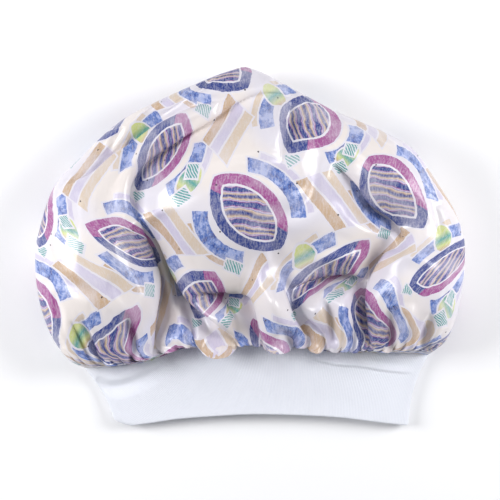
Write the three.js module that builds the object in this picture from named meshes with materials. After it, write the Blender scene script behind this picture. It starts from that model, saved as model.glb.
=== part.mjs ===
// A satin sleep bonnet lying on its back: a round puffed crown gathered onto a wide knitted band.
// Millimetres, +Z up from the surface it lies on, +Y from the band to the crown's peak, +X to the right.
// The head goes in at -Y, between the two layers of the band.
import * as THREE from "three";

// Driving dimensions
const PEAK = { x: -6, y: 150 }; // the crown's peak, on its outline
const OUTLINE_RISE = 29; // height of the crown's widest line above the surface
const PUFF_LEVEL = 58; // height of the front layer before its lobes and folds
const CROWN_WALL = 1.6;
const BAND_WALL = 2.4;
const SEAM_GAP = 0.3; // between the crown's gathered edge and the band
const BAND_FOLD = 12; // height of the band's side folds
const BAND_BOW = 4; // how far these bow inwards between seam and free edge
const SEAM_ARCH = 13; // how much the crown lifts the band's front layer at the seam
const FOOT_ARCH = 5; // and at the band's free edge
const CROWN_ROLL = 22; // width that rolls up off the surface at each side of the crown
const BAND_ROLL = 13; // and of the band
const PEAK_ROLL = 37; // length over which both layers round off to the peak
const SIDE_RISE = 40; // length over which the crown's side edge rises from the band's fold

// The crown's outline as seen from above, from the peak down each side to the seam's corners
const LEFT_OUTLINE = [
  [PEAK.x, PEAK.y], [-29, 142], [-73, 123], [-109, 104], [-142, 74], [-165, 48],
  [-177, 12], [-180, -8], [-178, -38], [-169, -69], [-154, -93], [-141, -103],
];
const RIGHT_OUTLINE = [
  [PEAK.x, PEAK.y], [7, 146], [38, 130], [68, 114], [112, 95], [136, 81],
  [153, 58], [172, 27], [179.5, 0], [176, -43], [166, -75], [151, -92],
];

// Front edge of the seam and free edge of the band, from right to left
const SEAM_LINE = [
  [151, -92], [126, -90], [70, -88], [42, -84], [0, -82], [-36, -83],
  [-60, -86], [-85, -96], [-112, -101], [-141, -103],
];
const FOOT_LINE = [
  [134, -151], [108, -148], [77, -144], [45, -142], [9, -141], [-20, -142],
  [-60, -145], [-87, -149], [-105, -151], [-115, -150],
];

// Soft lobes of the front layer: centre, half length, half width, turn of the length from +X and height
const LOBES = [
  { name: "middle", x: -14, y: 44, long: 96, wide: 74, turn: 20, rise: 26 },
  { name: "left side", x: -130, y: -16, long: 94, wide: 52, turn: 90, rise: 15 },
  { name: "right of the middle", x: 66, y: 22, long: 56, wide: 46, turn: 10, rise: 12 },
  { name: "upper right", x: 120, y: 62, long: 62, wide: 36, turn: -47, rise: 15 },
  { name: "right side", x: 138, y: -40, long: 66, wide: 44, turn: 84, rise: 15 },
  { name: "low right", x: 70, y: -56, long: 34, wide: 34, turn: 0, rise: 6 },
  { name: "centre tongue", x: 20, y: -50, long: 44, wide: 18, turn: -70, rise: 10 },
  { name: "tongue in the hollow", x: -26, y: -60, long: 24, wide: 14, turn: -58, rise: 9 },
  { name: "small left puff", x: -63, y: -64, long: 24, wide: 17, turn: 90, rise: 12 },
];

// Folds of the front layer, as lines of x, y and depth. The overlapping lobe lies to the left of the line's
// way and rounds off over a short reach, the lower cloth to its right rises again over a longer one.
const FOLDS = [
  {
    name: "left lobe", over: 12, under: 26,
    line: [
      [-84, -95, 12], [-84, -54, 24], [-82, -33, 27], [-84, -20, 24], [-89, 0, 16], [-90, 21, 6],
    ],
  },
  {
    name: "middle lobe", over: 13, under: 26,
    line: [
      [-90, 21, 6], [-74, 0, 18], [-62, -25, 27], [-46, -50, 22], [-28, -66, 14], [-12, -84, 6],
    ],
  },
  {
    name: "hollow under the middle lobe", over: 13, under: 26,
    line: [
      [-46, -40, 3], [-37, -35, 10], [-26, -33, 18], [-13, -33, 22], [-4, -36, 21], [2, -42, 19],
      [4, -50, 17], [6, -63, 14], [12, -80, 7],
    ],
  },
  {
    name: "centre tongue", over: 9, under: 18,
    line: [[44, -84, 7], [40, -70, 11], [33, -57, 14], [28, -43, 12], [26, -32, 7]],
  },
  {
    name: "low right puff", over: 12, under: 22,
    line: [
      [27, -36, 7], [44, -27, 13], [54, -21, 17], [64, -17, 19], [73, -16, 19], [82, -20, 17],
      [93, -25, 15], [99, -29, 12],
    ],
  },
  {
    name: "right side", over: 12, under: 20,
    line: [
      [119, -2, 4], [112, -5, 9], [106, -15, 16], [100, -25, 18], [97, -37, 17], [97, -50, 14],
      [98, -68, 10], [99, -85, 6],
    ],
  },
  {
    name: "upper right", over: 10, under: 24,
    line: [
      [68, 66, 3], [77, 61, 7], [89, 50, 12], [98, 37, 15], [108, 30, 16], [118, 23, 15],
      [124, 14, 11], [122, 6, 5],
    ],
  },
  {
    name: "outer roll", over: 10, under: 18,
    line: [
      [-26, 120, 3], [-49, 113, 7], [-66, 105, 9], [-80, 97, 9], [-97, 84, 9], [-114, 74, 9],
      [-128, 59, 8], [-142, 55, 7], [-157, 44, 5],
    ],
  },
  {
    name: "inner roll", over: 10, under: 28,
    line: [
      [-90, 16, 8], [-97, 32, 10], [-98, 45, 12], [-97, 55, 13], [-88, 69, 13], [-79, 78, 13],
      [-61, 88, 12], [-40, 98, 11], [-21, 111, 8], [-3, 124, 4],
    ],
  },
  { name: "below the peak", over: 12, under: 20, line: [[27, 76, 2], [29, 98, 6], [33, 118, 3]] },
];

// Gathers along the seam from right to left: x of the valley that ends each, height of its crest, how far
// it hangs over the band and how far it runs up the crown
const GATHERS = [
  { to: 138, rise: 6, over: 1, reach: 34 }, { to: 124, rise: 9, over: 2, reach: 48 },
  { to: 111, rise: 7, over: 1, reach: 36 }, { to: 99, rise: 9, over: 1, reach: 44 },
  { to: 84, rise: 8, over: 1, reach: 52 }, { to: 70, rise: 9, over: 2, reach: 60 },
  { to: 57, rise: 8, over: 1, reach: 58 }, { to: 46, rise: 7, over: 2, reach: 50 },
  { to: 34, rise: 9, over: 4, reach: 40 }, { to: 10, rise: 13, over: 6, reach: 34 },
  { to: -9, rise: 5, over: 1, reach: 46 }, { to: -43, rise: 14, over: 8, reach: 34 },
  { to: -57, rise: 8, over: 2, reach: 40 }, { to: -70, rise: 9, over: 2, reach: 44 },
  { to: -85, rise: 7, over: 1, reach: 40 }, { to: -97, rise: 9, over: 3, reach: 40 },
  { to: -111, rise: 7, over: 1, reach: 50 }, { to: -126, rise: 9, over: 2, reach: 38 },
  { to: -141, rise: 6, over: 1, reach: 32 },
];
const GATHER_VALLEY = 5; // depth of the valleys between the gathers
const SEAM_LEVEL = 46; // height that the front layer settles to at the seam, below the gathers
const SETTLE_REACH = 50;
const UNDER_GATHERS = { count: 6, rise: 5, start: 8, reach: 46 };

const SEAM_REACH = 58; // how far up the crown its rings follow the seam's own line

// Near the seam the crown stands up from the band, leans over it and turns back, by distance from the seam
const STAND_REACH = 22; // full height
const LEAN_START = 2;
const LEAN_REACH = 12; // furthest out over the band
const TURN_REACH = 62; // back in the rings' own places
const TURN_POWER = 1.4;

// Rings of the crown, by their distance from the seam along its middle, and rows of the band
const CROWN_RINGS = [
  226, 216, 204, 191, 178, 165, 152, 139, 126, 114, 103, 92, 82, 72, 62, 53, 44, 35, 27, 19, 11, 3, 0,
];
const BAND_ROWS = [0, 0.14, 0.25, 0.4, 1]; // by their share of the way down from the seam
const GATHER_COLUMNS = 4;
const WIDE_GATHER = { width: 20, columns: 6 };

// Shallow tucks across the band's front layer: middle, half length, distance below the seam and depth
const TUCKS = [
  { x: 92, half: 62, below: 13, depth: 1.6 },
  { x: -108, half: 42, below: 15, depth: 1.8 },
];
const TUCK_WIDTH = 5;

const { cos, sin, abs, min, max, sqrt, exp, hypot, PI } = Math;
const mix = THREE.MathUtils.lerp;
const smooth = THREE.MathUtils.smoothstep;

const splineOf = (points) => new THREE.SplineCurve(points.map(([x, y]) => new THREE.Vector2(x, y)));
const leftOutline = splineOf(LEFT_OUTLINE);
const rightOutline = splineOf(RIGHT_OUTLINE);

// Places on the seam go by the share of its width, 0 at the right and 1 at the left
const seamRight = SEAM_LINE[0][0];
const seamLeft = SEAM_LINE.at(-1)[0];
const acrossAt = (x) => (seamRight - x) / (seamRight - seamLeft);

// A line's point at a share of its width
function pointAcross(samples, across) {
  const x = mix(samples[0].x, samples.at(-1).x, across);
  const next = max(1, samples.findIndex((point) => point.x <= x));
  const [a, b] = [samples[next - 1], samples[next]];
  return new THREE.Vector2(x, mix(a.y, b.y, (a.x - x) / (a.x - b.x)));
}
const SAMPLES = 240;
const seamSamples = splineOf(SEAM_LINE).getPoints(SAMPLES);
const footSamples = splineOf(FOOT_LINE).getPoints(SAMPLES);
const seamAt = (across) => pointAcross(seamSamples, across);
const footAt = (across) => pointAcross(footSamples, across);
const seamMiddle = seamAt(acrossAt(0)).y;
const crownLength = PEAK.y - seamMiddle;

// Rises steeply from 0 and levels off at 1, as a quarter of an ellipse does
const quarterRound = (share) => sqrt(1 - (1 - min(max(share, 0), 1)) ** 2);

// Height that the lobes add over a point of the plan
function lobesRise(x, y) {
  const [TOP_SHARE, FOOT_SHARE] = [0.15, 1.1]; // where a lobe starts to fall off, and where it has run out
  let rise = 0;
  for (const lobe of LOBES) {
    const turn = THREE.MathUtils.degToRad(lobe.turn);
    const along = ((x - lobe.x) * cos(turn) + (y - lobe.y) * sin(turn)) / lobe.long;
    const across = ((y - lobe.y) * cos(turn) - (x - lobe.x) * sin(turn)) / lobe.wide;
    rise += lobe.rise * (1 - smooth(hypot(along, across), TOP_SHARE, FOOT_SHARE));
  }
  return rise;
}

// Depth of one fold at a point of the plan, from the nearest place on its line
function foldDip(fold, x, y) {
  let [nearest, dip] = [Infinity, 0];
  for (let i = 0; i + 1 < fold.line.length; i += 1) {
    const [[ax, ay, aDepth], [bx, by, bDepth]] = [fold.line[i], fold.line[i + 1]];
    const [dx, dy] = [bx - ax, by - ay];
    const share = min(1, max(0, ((x - ax) * dx + (y - ay) * dy) / (dx * dx + dy * dy)));
    const off = hypot(x - ax - share * dx, y - ay - share * dy);
    if (off < nearest) {
      nearest = off;
      const isOver = dx * (y - ay) - dy * (x - ax) > 0;
      dip = mix(aDepth, bDepth, share) * (1 - smooth(off, 0, isOver ? fold.over : fold.under));
    }
  }
  return dip;
}

// The deepest fold counts in full and the others by a part, so that folds that cross don't cut through
function foldsDip(x, y) {
  const CROSSING_SHARE = 0.25;
  const dips = FOLDS.map((fold) => foldDip(fold, x, y));
  const deepest = max(...dips);
  const others = dips.reduce((sum, dip) => sum + dip, 0) - deepest;
  return deepest + CROSSING_SHARE * others;
}

// The gather at a place along the seam, and how near that place is to the gather's crest
function gatherAt(across) {
  let from = 0;
  for (const gather of GATHERS) {
    const to = acrossAt(gather.to);
    if (across < to || gather === GATHERS.at(-1)) {
      return { ...gather, crest: sqrt(max(0, sin(PI * (across - from) / (to - from)))) };
    }
    from = to;
  }
}

// Height of the band's front layer, at shares of its width and of its way down from the seam
function bandTop(across, down) {
  const fromFold = min(across, 1 - across) * (seamRight - seamLeft);
  const folded = (BAND_FOLD / 2) * (1 + quarterRound(fromFold / BAND_ROLL));
  const arch = mix(SEAM_ARCH, FOOT_ARCH, smooth(down, 0, 1));
  return folded + arch * sin(PI * across);
}

const outlineAt = (fromSeam) => {
  const way = 1 - fromSeam / crownLength;
  return { way, left: leftOutline.getPointAt(way), right: rightOutline.getPointAt(way) };
};

// Place in the plan at a distance from the seam, measured along the crown's middle
function crownPlan(fromSeam, across) {
  const arcAt = (distance) => {
    const { way, left, right } = outlineAt(distance);
    const bow = mix(PEAK.y, seamMiddle, way) - (left.y + right.y) / 2;
    const arc = new THREE.Vector2().lerpVectors(right, left, across);
    arc.y += bow * 4 * across * (1 - across);
    return arc;
  };
  const toSeam = seamAt(across).sub(arcAt(0));
  return arcAt(fromSeam).addScaledVector(toSeam, 1 - smooth(fromSeam, 0, SEAM_REACH));
}

// Height of the crown's side edge, and how far a ring near the peak has rounded off from it
const edgeHeight = (fromSeam) => mix(BAND_FOLD / 2, OUTLINE_RISE, quarterRound(fromSeam / SIDE_RISE));
const peakRound = (fromSeam) => quarterRound((crownLength - fromSeam) / PEAK_ROLL);

// 0 at the sides and 1 in the middle, and the same with a fuller front
const inside = (across) => 2 * sqrt(max(0, across * (1 - across)));
const frontRound = (across) => quarterRound(1.15 * inside(across) ** 1.4);

function crownFront(fromSeam, across) {
  const gather = gatherAt(across);
  const plan = crownPlan(fromSeam, across);
  if (fromSeam < TURN_REACH) {
    const leaned = -gather.over * gather.crest * smooth(fromSeam, LEAN_START, LEAN_REACH);
    const turned = max(0, (fromSeam - LEAN_REACH) / (TURN_REACH - LEAN_REACH)) ** TURN_POWER;
    plan.y += (mix(leaned, TURN_REACH, turned) - fromSeam) * inside(across);
  }
  const near = smooth(gather.reach - fromSeam, 0, gather.reach) * inside(across);
  const gathered = (gather.rise * gather.crest - GATHER_VALLEY * (1 - gather.crest)) * near;
  const full = PUFF_LEVEL + lobesRise(plan.x, plan.y) - foldsDip(plan.x, plan.y) + gathered;
  const settling = smooth(SETTLE_REACH - fromSeam, 0, SETTLE_REACH);
  const settled = mix(full, min(full, SEAM_LEVEL + gathered), settling);
  const height = mix(bandTop(across, 0), settled, quarterRound(fromSeam / STAND_REACH));
  const rounded = frontRound(across) * peakRound(fromSeam);
  return new THREE.Vector3(plan.x, plan.y, mix(edgeHeight(fromSeam), height, rounded));
}

function crownUnder(fromSeam, across, share) {
  const plan = crownPlan(fromSeam, across);
  const { left, right } = outlineAt(fromSeam);
  const fromSide = min(across, 1 - across) * (right.x - left.x);
  const roll = mix(BAND_ROLL, CROWN_ROLL, smooth(fromSeam, 0, SEAM_REACH));
  const flat = quarterRound(fromSide / roll) * peakRound(fromSeam);
  const wave = 0.5 - 0.5 * cos(2 * PI * UNDER_GATHERS.count * share);
  const { rise, reach, start } = UNDER_GATHERS;
  const near = smooth(reach - fromSeam, 0, reach) * min(1, fromSeam / start);
  const lift = rise * wave * inside(across) * near;
  return new THREE.Vector3(plan.x, plan.y, edgeHeight(fromSeam) * (1 - flat) + lift);
}

// A point of the band's outer surface, at shares of its width and of its way down from the seam
function bandPoint(down, across, isFront) {
  const seam = seamAt(across);
  const foot = footAt(across);
  const bow = BAND_BOW * sin(PI * down) * (1 - 2 * across);
  const x = mix(seam.x, foot.x, down) - bow;
  const y = mix(seam.y - SEAM_GAP, foot.y, down);
  if (!isFront) {
    const flat = quarterRound((min(across, 1 - across) * (seamRight - seamLeft)) / BAND_ROLL);
    return new THREE.Vector3(x, y, (BAND_FOLD / 2) * (1 - flat));
  }
  let tuck = 0;
  for (const row of TUCKS) {
    const alongTuck = max(0, 1 - ((x - row.x) / row.half) ** 2);
    tuck += row.depth * alongTuck * exp(-(((seam.y - y - row.below) / TUCK_WIDTH) ** 2));
  }
  return new THREE.Vector3(x, y, bandTop(across, down) - tuck);
}

// Columns of both grids. Those of the front stand on the valleys and crests of the gathers, those of the
// underside lie closer together towards its sides.
const frontColumns = [];
let from = 0;
for (const gather of GATHERS) {
  const to = acrossAt(gather.to);
  const isWide = (to - from) * (seamRight - seamLeft) > WIDE_GATHER.width;
  const count = isWide ? WIDE_GATHER.columns : GATHER_COLUMNS;
  for (let i = 0; i < count; i += 1) frontColumns.push(mix(from, to, i / count));
  from = to;
}
const underCount = GATHER_COLUMNS * UNDER_GATHERS.count;
const underShares = Array.from({ length: underCount }, (_, i) => i / underCount);
const underAcross = (share) => (1 + cos(PI * share)) / 2;

const crownRing = (fromSeam) => [
  ...frontColumns.map((across) => crownFront(fromSeam, across)),
  ...underShares.map((share) => crownUnder(fromSeam, underAcross(share), share)),
];
const bandRing = (down) => [
  ...frontColumns.map((across) => bandPoint(down, across, true)),
  ...underShares.map((share) => bandPoint(down, underAcross(share), false)),
];

// Moves each point of a grid of closed rings inwards by the wall, in a direction evened out with its
// neighbours', so that the inner skin stays clear of the outer one in tight folds. Rings at an open edge
// keep their own line, so that two edges that meet have an even gap.
function insetRings(rings, wall, isOpenEdge) {
  const columns = rings[0].length;
  const inwards = rings.map((ring, r) =>
    ring.map((_, c) => {
      const [before, after] = [ring[(c + columns - 1) % columns], ring[(c + 1) % columns]];
      const around = new THREE.Vector3().subVectors(after, before);
      const along = new THREE.Vector3(0, -1, 0);
      if (!isOpenEdge(r)) along.subVectors(rings[r + 1][c], rings[max(r - 1, 0)][c]);
      return new THREE.Vector3().crossVectors(along, around).normalize();
    }),
  );
  return rings.map((ring, r) =>
    ring.map((point, c) => {
      const even = inwards[r][c].clone();
      if (isOpenEdge(r)) return point.clone().addScaledVector(even.setY(0).normalize(), wall);
      even.add(inwards[r][(c + 1) % columns]).add(inwards[r][(c + columns - 1) % columns]);
      even.add(inwards[r + 1][c]).add(inwards[max(r - 1, 0)][c]);
      return point.clone().addScaledVector(even.normalize(), wall);
    }),
  );
}

// A wall between two grids of rings as one closed geometry: its outer and inner skins, joined at the last
// ring, and at the first one too unless the skins close on a peak there
function wallGeometry(outer, inner, peaks) {
  const columns = outer[0].length;
  const vertices = [...outer.flat(), ...inner.flat(), ...peaks];
  const outerAt = (r, c) => r * columns + (c % columns);
  const innerAt = (r, c) => outer.length * columns + outerAt(r, c);
  const index = [];
  const quad = (first, ...corners) => {
    const [a, b, c, d] = [0, 1, 2, 3].map((i) => corners[(i + first) % 4]);
    index.push(a, b, c, a, c, d);
  };
  const last = outer.length - 1;
  for (let c = 0; c < columns; c += 1) {
    for (let r = 0; r < last; r += 1) {
      // split along the diagonal that climbs less, so that the facets follow the folds
      const climb = abs(outer[r][c].z - outer[r + 1][(c + 1) % columns].z);
      const otherClimb = abs(outer[r][(c + 1) % columns].z - outer[r + 1][c].z);
      const first = climb <= otherClimb ? 0 : 1;
      quad(first, outerAt(r, c), outerAt(r, c + 1), outerAt(r + 1, c + 1), outerAt(r + 1, c));
      quad(1 - first, innerAt(r + 1, c), innerAt(r + 1, c + 1), innerAt(r, c + 1), innerAt(r, c));
    }
    quad(0, outerAt(last, c), outerAt(last, c + 1), innerAt(last, c + 1), innerAt(last, c));
    if (peaks.length > 0) {
      index.push(vertices.length - 2, outerAt(0, c + 1), outerAt(0, c));
      index.push(vertices.length - 1, innerAt(0, c), innerAt(0, c + 1));
    } else {
      quad(0, outerAt(0, c), innerAt(0, c), innerAt(0, c + 1), outerAt(0, c + 1));
    }
  }
  const geometry = new THREE.BufferGeometry().setFromPoints(vertices);
  geometry.setIndex(index);
  geometry.computeVertexNormals();
  return geometry;
}

function crownGeometry() {
  const outer = CROWN_RINGS.map(crownRing);
  const inner = insetRings(outer, CROWN_WALL, (r) => r === outer.length - 1);
  const peak = new THREE.Vector3(PEAK.x, PEAK.y, OUTLINE_RISE);
  const innerPeak = peak.clone().setY(PEAK.y - CROWN_WALL);
  return wallGeometry(outer, inner, [peak, innerPeak]);
}

function bandGeometry() {
  const outer = BAND_ROWS.map(bandRing);
  const inner = insetRings(outer, BAND_WALL, (r) => r === 0 || r === outer.length - 1);
  return wallGeometry(outer, inner, []);
}

const satin = new THREE.MeshStandardMaterial({ name: "satin", color: 0xd9d4e2, roughness: 0.35 });
const knit = new THREE.MeshStandardMaterial({ name: "knit", color: 0xeef0f7, roughness: 0.85 });

const crown = new THREE.Mesh(crownGeometry(), satin);
crown.name = "crown";
const band = new THREE.Mesh(bandGeometry(), knit);
band.name = "band";

const bonnet = new THREE.Group();
bonnet.add(crown, band);

// The origin is the middle of the bonnet's box, on the surface
const box = new THREE.Box3().setFromObject(bonnet);
const middle = box.getCenter(new THREE.Vector3());
for (const piece of bonnet.children) piece.position.set(-middle.x, -middle.y, -box.min.z);

export default bonnet;
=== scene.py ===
"""Looks of a satin sleep bonnet that lies on its back: a puffed, gathered crown on a wide knitted band.

The shapes are worked out in millimetres from the same named sizes as the solids, and made in metres.
"""

import math

import bmesh
import bpy
import numpy as np
from mathutils import Euler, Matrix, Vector


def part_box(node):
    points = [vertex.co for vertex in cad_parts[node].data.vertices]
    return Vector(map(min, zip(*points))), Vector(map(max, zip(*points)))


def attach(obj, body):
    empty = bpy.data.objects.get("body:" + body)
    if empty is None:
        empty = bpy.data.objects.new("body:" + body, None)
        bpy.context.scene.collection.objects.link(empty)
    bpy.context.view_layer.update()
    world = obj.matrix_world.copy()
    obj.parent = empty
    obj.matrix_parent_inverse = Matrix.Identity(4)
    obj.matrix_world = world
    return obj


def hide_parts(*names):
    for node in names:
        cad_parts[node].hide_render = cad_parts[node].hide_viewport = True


bl_info = {
    "name": "Sleep Bonnet",
    "version": (1, 0, 0),
    "blender": (4, 5, 0),
    "location": "3D View > Sidebar > Bonnet",
    "description": "Builds a satin sleep bonnet with a knitted band",
    "category": "Add Mesh",
}

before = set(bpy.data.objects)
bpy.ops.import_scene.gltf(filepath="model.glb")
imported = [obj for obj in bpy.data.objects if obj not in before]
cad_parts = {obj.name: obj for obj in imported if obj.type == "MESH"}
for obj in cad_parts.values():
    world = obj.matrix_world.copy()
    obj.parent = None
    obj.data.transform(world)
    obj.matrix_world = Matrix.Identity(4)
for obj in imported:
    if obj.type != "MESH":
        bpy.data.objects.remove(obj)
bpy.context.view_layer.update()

MM = 0.001

# Driving dimensions in millimetres, as in the solids
PEAK = (-6, 150)
OUTLINE_RISE = 29
PUFF_LEVEL = 58
BAND_FOLD = 12
BAND_BOW = 4
SEAM_ARCH = 13
FOOT_ARCH = 5
CROWN_ROLL = 22
BAND_ROLL = 13
PEAK_ROLL = 37
SIDE_RISE = 40

# The crown's outline as seen from above, from the peak down each side to the seam's corners
LEFT_OUTLINE = [
    PEAK, (-29, 142), (-73, 123), (-109, 104), (-142, 74), (-165, 48),
    (-177, 12), (-180, -8), (-178, -38), (-169, -69), (-154, -93), (-141, -103),
]
RIGHT_OUTLINE = [
    PEAK, (7, 146), (38, 130), (68, 114), (112, 95), (136, 81),
    (153, 58), (172, 27), (179.5, 0), (176, -43), (166, -75), (151, -92),
]

# Front edge of the seam and free edge of the band, from right to left
SEAM_LINE = [
    (151, -92), (126, -90), (70, -88), (42, -84), (0, -82), (-36, -83),
    (-60, -86), (-85, -96), (-112, -101), (-141, -103),
]
FOOT_LINE = [
    (134, -151), (108, -148), (77, -144), (45, -142), (9, -141), (-20, -142),
    (-60, -145), (-87, -149), (-105, -151), (-115, -150),
]

# Soft lobes of the front layer: x, y, half length, half width, turn of the length from +X and height
LOBES = {
    "middle": (-14, 44, 96, 74, 20, 26),
    "left side": (-130, -16, 94, 52, 90, 16),
    "right of the middle": (66, 22, 56, 46, 10, 12),
    "upper right": (120, 62, 62, 36, -47, 15),
    "right side": (138, -40, 66, 44, 84, 17),
    "low right": (70, -56, 36, 34, 0, 8),
    "centre tongue": (22, -54, 46, 20, -70, 12),
    "tongue in the hollow": (-26, -60, 26, 13, -56, 11),
    "small puff in the valley": (-66, -82, 17, 13, 0, 11),
}

# Folds of the front layer: reach of the overlapping lobe, which lies to the left of the line's way, reach
# of the lower cloth, how far the lobe hangs over as a share of the depth, and the line's x, y and depth
FOLDS = {
    "left lobe": (12, 36, 0.22, [
        (-81, -99, 15), (-81, -71, 27), (-80, -56, 33), (-77, -33, 36), (-80, -15, 31), (-85, 3, 18),
        (-90, 21, 6),
    ]),
    "middle lobe": (13, 36, 0.28, [
        (-90, 22, 6), (-74, 6, 23), (-65, -10, 33), (-58, -25, 36), (-47, -44, 31), (-27, -62, 20),
        (-11, -80, 12), (-8, -88, 6),
    ]),
    "hollow under the middle lobe": (12, 31, 0.32, [
        (-48, -42, 3), (-39, -38, 13), (-30, -36, 23), (-20, -34.5, 30), (-10, -34.5, 32), (-3, -36, 31),
        (3, -40, 28), (6, -46, 24), (8, -58, 19), (10, -73, 14), (14, -85, 9),
    ]),
    "tongue in the hollow": (8, 12, 0.3, [
        (-6, -87, 4), (-10, -76, 8), (-14, -66, 10), (-17, -56, 10), (-22, -47, 8), (-29, -40, 3),
    ]),
    "centre tongue": (10, 16, 0.25, [
        (44, -87, 7), (46, -77, 10), (42, -70, 13), (35, -58, 16), (31, -46, 15), (27, -34, 11), (24, -22, 4),
    ]),
    "low right puff": (12, 26, 0.3, [
        (30, -37, 6), (45, -29, 16), (52, -26, 20), (62, -22.6, 24), (72, -20.7, 26), (81, -20.7, 25),
        (91, -23.6, 22), (100, -27.5, 16),
    ]),
    "fold in the low right puff": (6, 9, 0.3, [
        (38, -46, 2), (46, -58, 6), (55, -66, 8), (61, -72, 7), (63, -80, 6), (64, -88, 5),
    ]),
    "steep ridge": (8, 13, 0.2, [(84, -89, 6), (84, -76, 9), (84.5, -60, 10), (85, -48, 7), (84, -36, 2)]),
    "right side": (11, 25, 0.25, [
        (119, -2, 5), (112, -5, 12), (107, -13, 20), (103, -22, 24), (98, -34, 24), (96.5, -46, 21),
        (98, -64, 16), (99.5, -77, 12), (103, -88, 7),
    ]),
    "upper right": (12, 24, 0.32, [
        (68, 66, 3), (77, 61, 9), (89, 50, 15), (98, 37, 19), (108, 30, 20), (118, 23, 19),
        (124, 14, 14), (122, 6, 6),
    ]),
    "outer roll": (11, 18, 0.22, [
        (-8, 124, 0.5), (-28, 119, 3), (-49, 113, 7), (-66, 105, 10), (-80, 97, 12), (-97, 84, 12),
        (-114, 74, 12), (-128, 61, 10), (-142, 54, 7), (-157, 44, 3), (-166, 36, 0.5),
    ]),
    "inner roll": (11, 28, 0.2, [
        (-90, 16, 8), (-97, 32, 11), (-98, 45, 13), (-93, 58, 14), (-83, 70, 14), (-66, 82, 14),
        (-50, 93, 13), (-36, 101, 12), (-21, 111, 10), (-8, 119, 7), (6, 124.5, 5), (20, 126, 4),
        (38, 123, 3),
    ]),
    "below the peak": (10, 20, 0.15, [
        (24, 62, 0.5), (26, 76, 3), (28, 92, 7), (29, 106, 7), (33, 117, 3), (37, 124, 0.5),
    ]),
    "left foot": (6, 10, 0.35, [
        (-136, -58, 2), (-130, -73, 8), (-126, -84, 11), (-121, -95, 11), (-118, -105, 8),
    ]),
    "far left foot": (6, 9, 0.25, [
        (-122, -108, 6), (-132, -99, 9), (-137, -90, 9), (-142, -78, 8), (-147, -62, 2),
    ]),
}
FOLD_END = 0.12  # share of a fold's length over which it runs out in the cloth

# Small wrinkles that the satin shows: half width, and the line's x, y and height, negative for a groove
WRINKLES = {
    "ridge outside the inner roll": (7, [
        (-26, 117, 0), (-49, 108, 3), (-79, 85, 4), (-92, 70, 4), (-102, 50, 4), (-104, 26, 0),
    ]),
    "ridge below the peak": (5, [(23, 124, 0), (24, 112, 4), (23, 94, 3.5), (19, 78, 0)]),
    "ridge above the low right puff": (6, [
        (50, -16, 0), (65, -11, 3), (80, -10, 4), (90, -12, 3), (100, -22, 0),
    ]),
    "groove in the low right puff": (4, [(59, -38, 0), (64, -50, -6), (67, -64, -6), (70, -76, -3)]),
    "ridge in the low right puff": (4, [(75, -36, 0), (76, -50, 4), (75, -66, 3), (77, -84, 2)]),
    "hole in the cup": (4.5, [(25, -68, 0), (32, -77, -9), (35, -84, -8)]),
    "ridge along the centre tongue": (6, [(14, -30, 0), (19, -46, 4), (25, -62, 3), (30, -72, 0)]),
    "groove at the foot of the right side": (4.5, [(114, -50, 0), (117, -66, -8), (117, -84, -8)]),
    "second groove there": (4, [(147, -54, 0), (145, -70, -8), (142, -88, -7)]),
    "ridge between them": (5, [(130, -46, 0), (131, -62, 5), (133, -80, 4)]),
    "groove at the foot of the left side": (4.5, [
        (-104, -54, 0), (-98, -70, -8), (-96, -84, -8), (-99, -98, -6),
    ]),
    "crease across the left side": (6, [(-168, -20, 0), (-140, -34, -2.5), (-112, -40, 0)]),
    "crease over the middle": (7, [(-60, 40, 0), (-20, 62, -2), (20, 66, -2.5), (52, 48, 0)]),
    "crease between the middle and the right": (8, [
        (53, 82, 0), (54, 48, -4), (44, 33, -4), (33, 26, -3), (20, 20, 0),
    ]),
    "crease on the right": (6, [(140, 60, 0), (152, 28, -2.5), (158, -4, 0)]),
    "ridge over the right side": (7, [(112, -18, 0), (128, -8, 3), (150, -16, 2), (166, -40, 0)]),
    "ridge down the centre": (7, [(2, 20, 0), (8, 0, 4), (12, -20, 3), (16, -40, 0)]),
    "grey fold in the valley": (4, [(-80, -4, 0), (-72, -24, 5), (-67, -44, 4), (-66, -62, 0)]),
    "second fold in the valley": (3.5, [(-58, -44, 0), (-57, -64, 6), (-51, -80, 5), (-48, -88, 0)]),
    "third fold in the valley": (3.5, [(-46, -54, 0), (-42, -68, 5), (-44, -80, 4), (-43, -88, 0)]),
}

# Gathers along the seam from right to left: x of the valley that ends each, height of its crest, how far
# it hangs over the band and how far it runs up the crown
GATHERS = [
    (142, 8, 3, 30), (136, 6, 1, 14), (126, 11, 4, 26), (116.5, 11, 3, 30), (110, 8, 2, 18),
    (101.5, 12, 4, 24), (95, 7, 1, 14), (90, 6, 2, 12), (84, 7, 1, 16), (76, 11, 3, 28), (69, 9, 2, 20),
    (62, 8, 3, 16), (57, 6, 1, 12), (45, 12, 5, 24), (34, 9, 2, 18), (10, 15, 7, 30), (3, 7, 2, 16),
    (-3, 6, 1, 12), (-9, 7, 2, 16), (-38, 17, 11, 32), (-44, 6, 1, 14), (-49, 8, 2, 18), (-54, 8, 1, 16),
    (-68, 11, 4, 22), (-80, 10, 3, 20), (-88, 9, 2, 30), (-96.5, 11, 3, 22), (-103, 8, 2, 16),
    (-111.5, 11, 4, 24), (-118, 8, 1, 16), (-126, 12, 4, 26), (-132.5, 9, 2, 20), (-141, 10, 3, 24),
]
GATHER_VALLEY = 17  # depth of the valleys between the gathers
GATHER_SPREAD = 1.6  # how far a gather's sides bulge over its valleys
PLEATS = (74, 3, 22)  # number, height and reach of the fine pleats between the gathers
PLEAT_DRIFT = (2, 9)  # how far the pleats wander from even gaps, and how often
SEAM_LEVEL = 46  # height to which the satin stands up at the seam
WRINKLE_SCALE = 1.35  # of the wrinkles' heights, which the cloth evens out as it settles
SETTLE_REACH = 50  # distance over which it climbs from there to its full height
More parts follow.
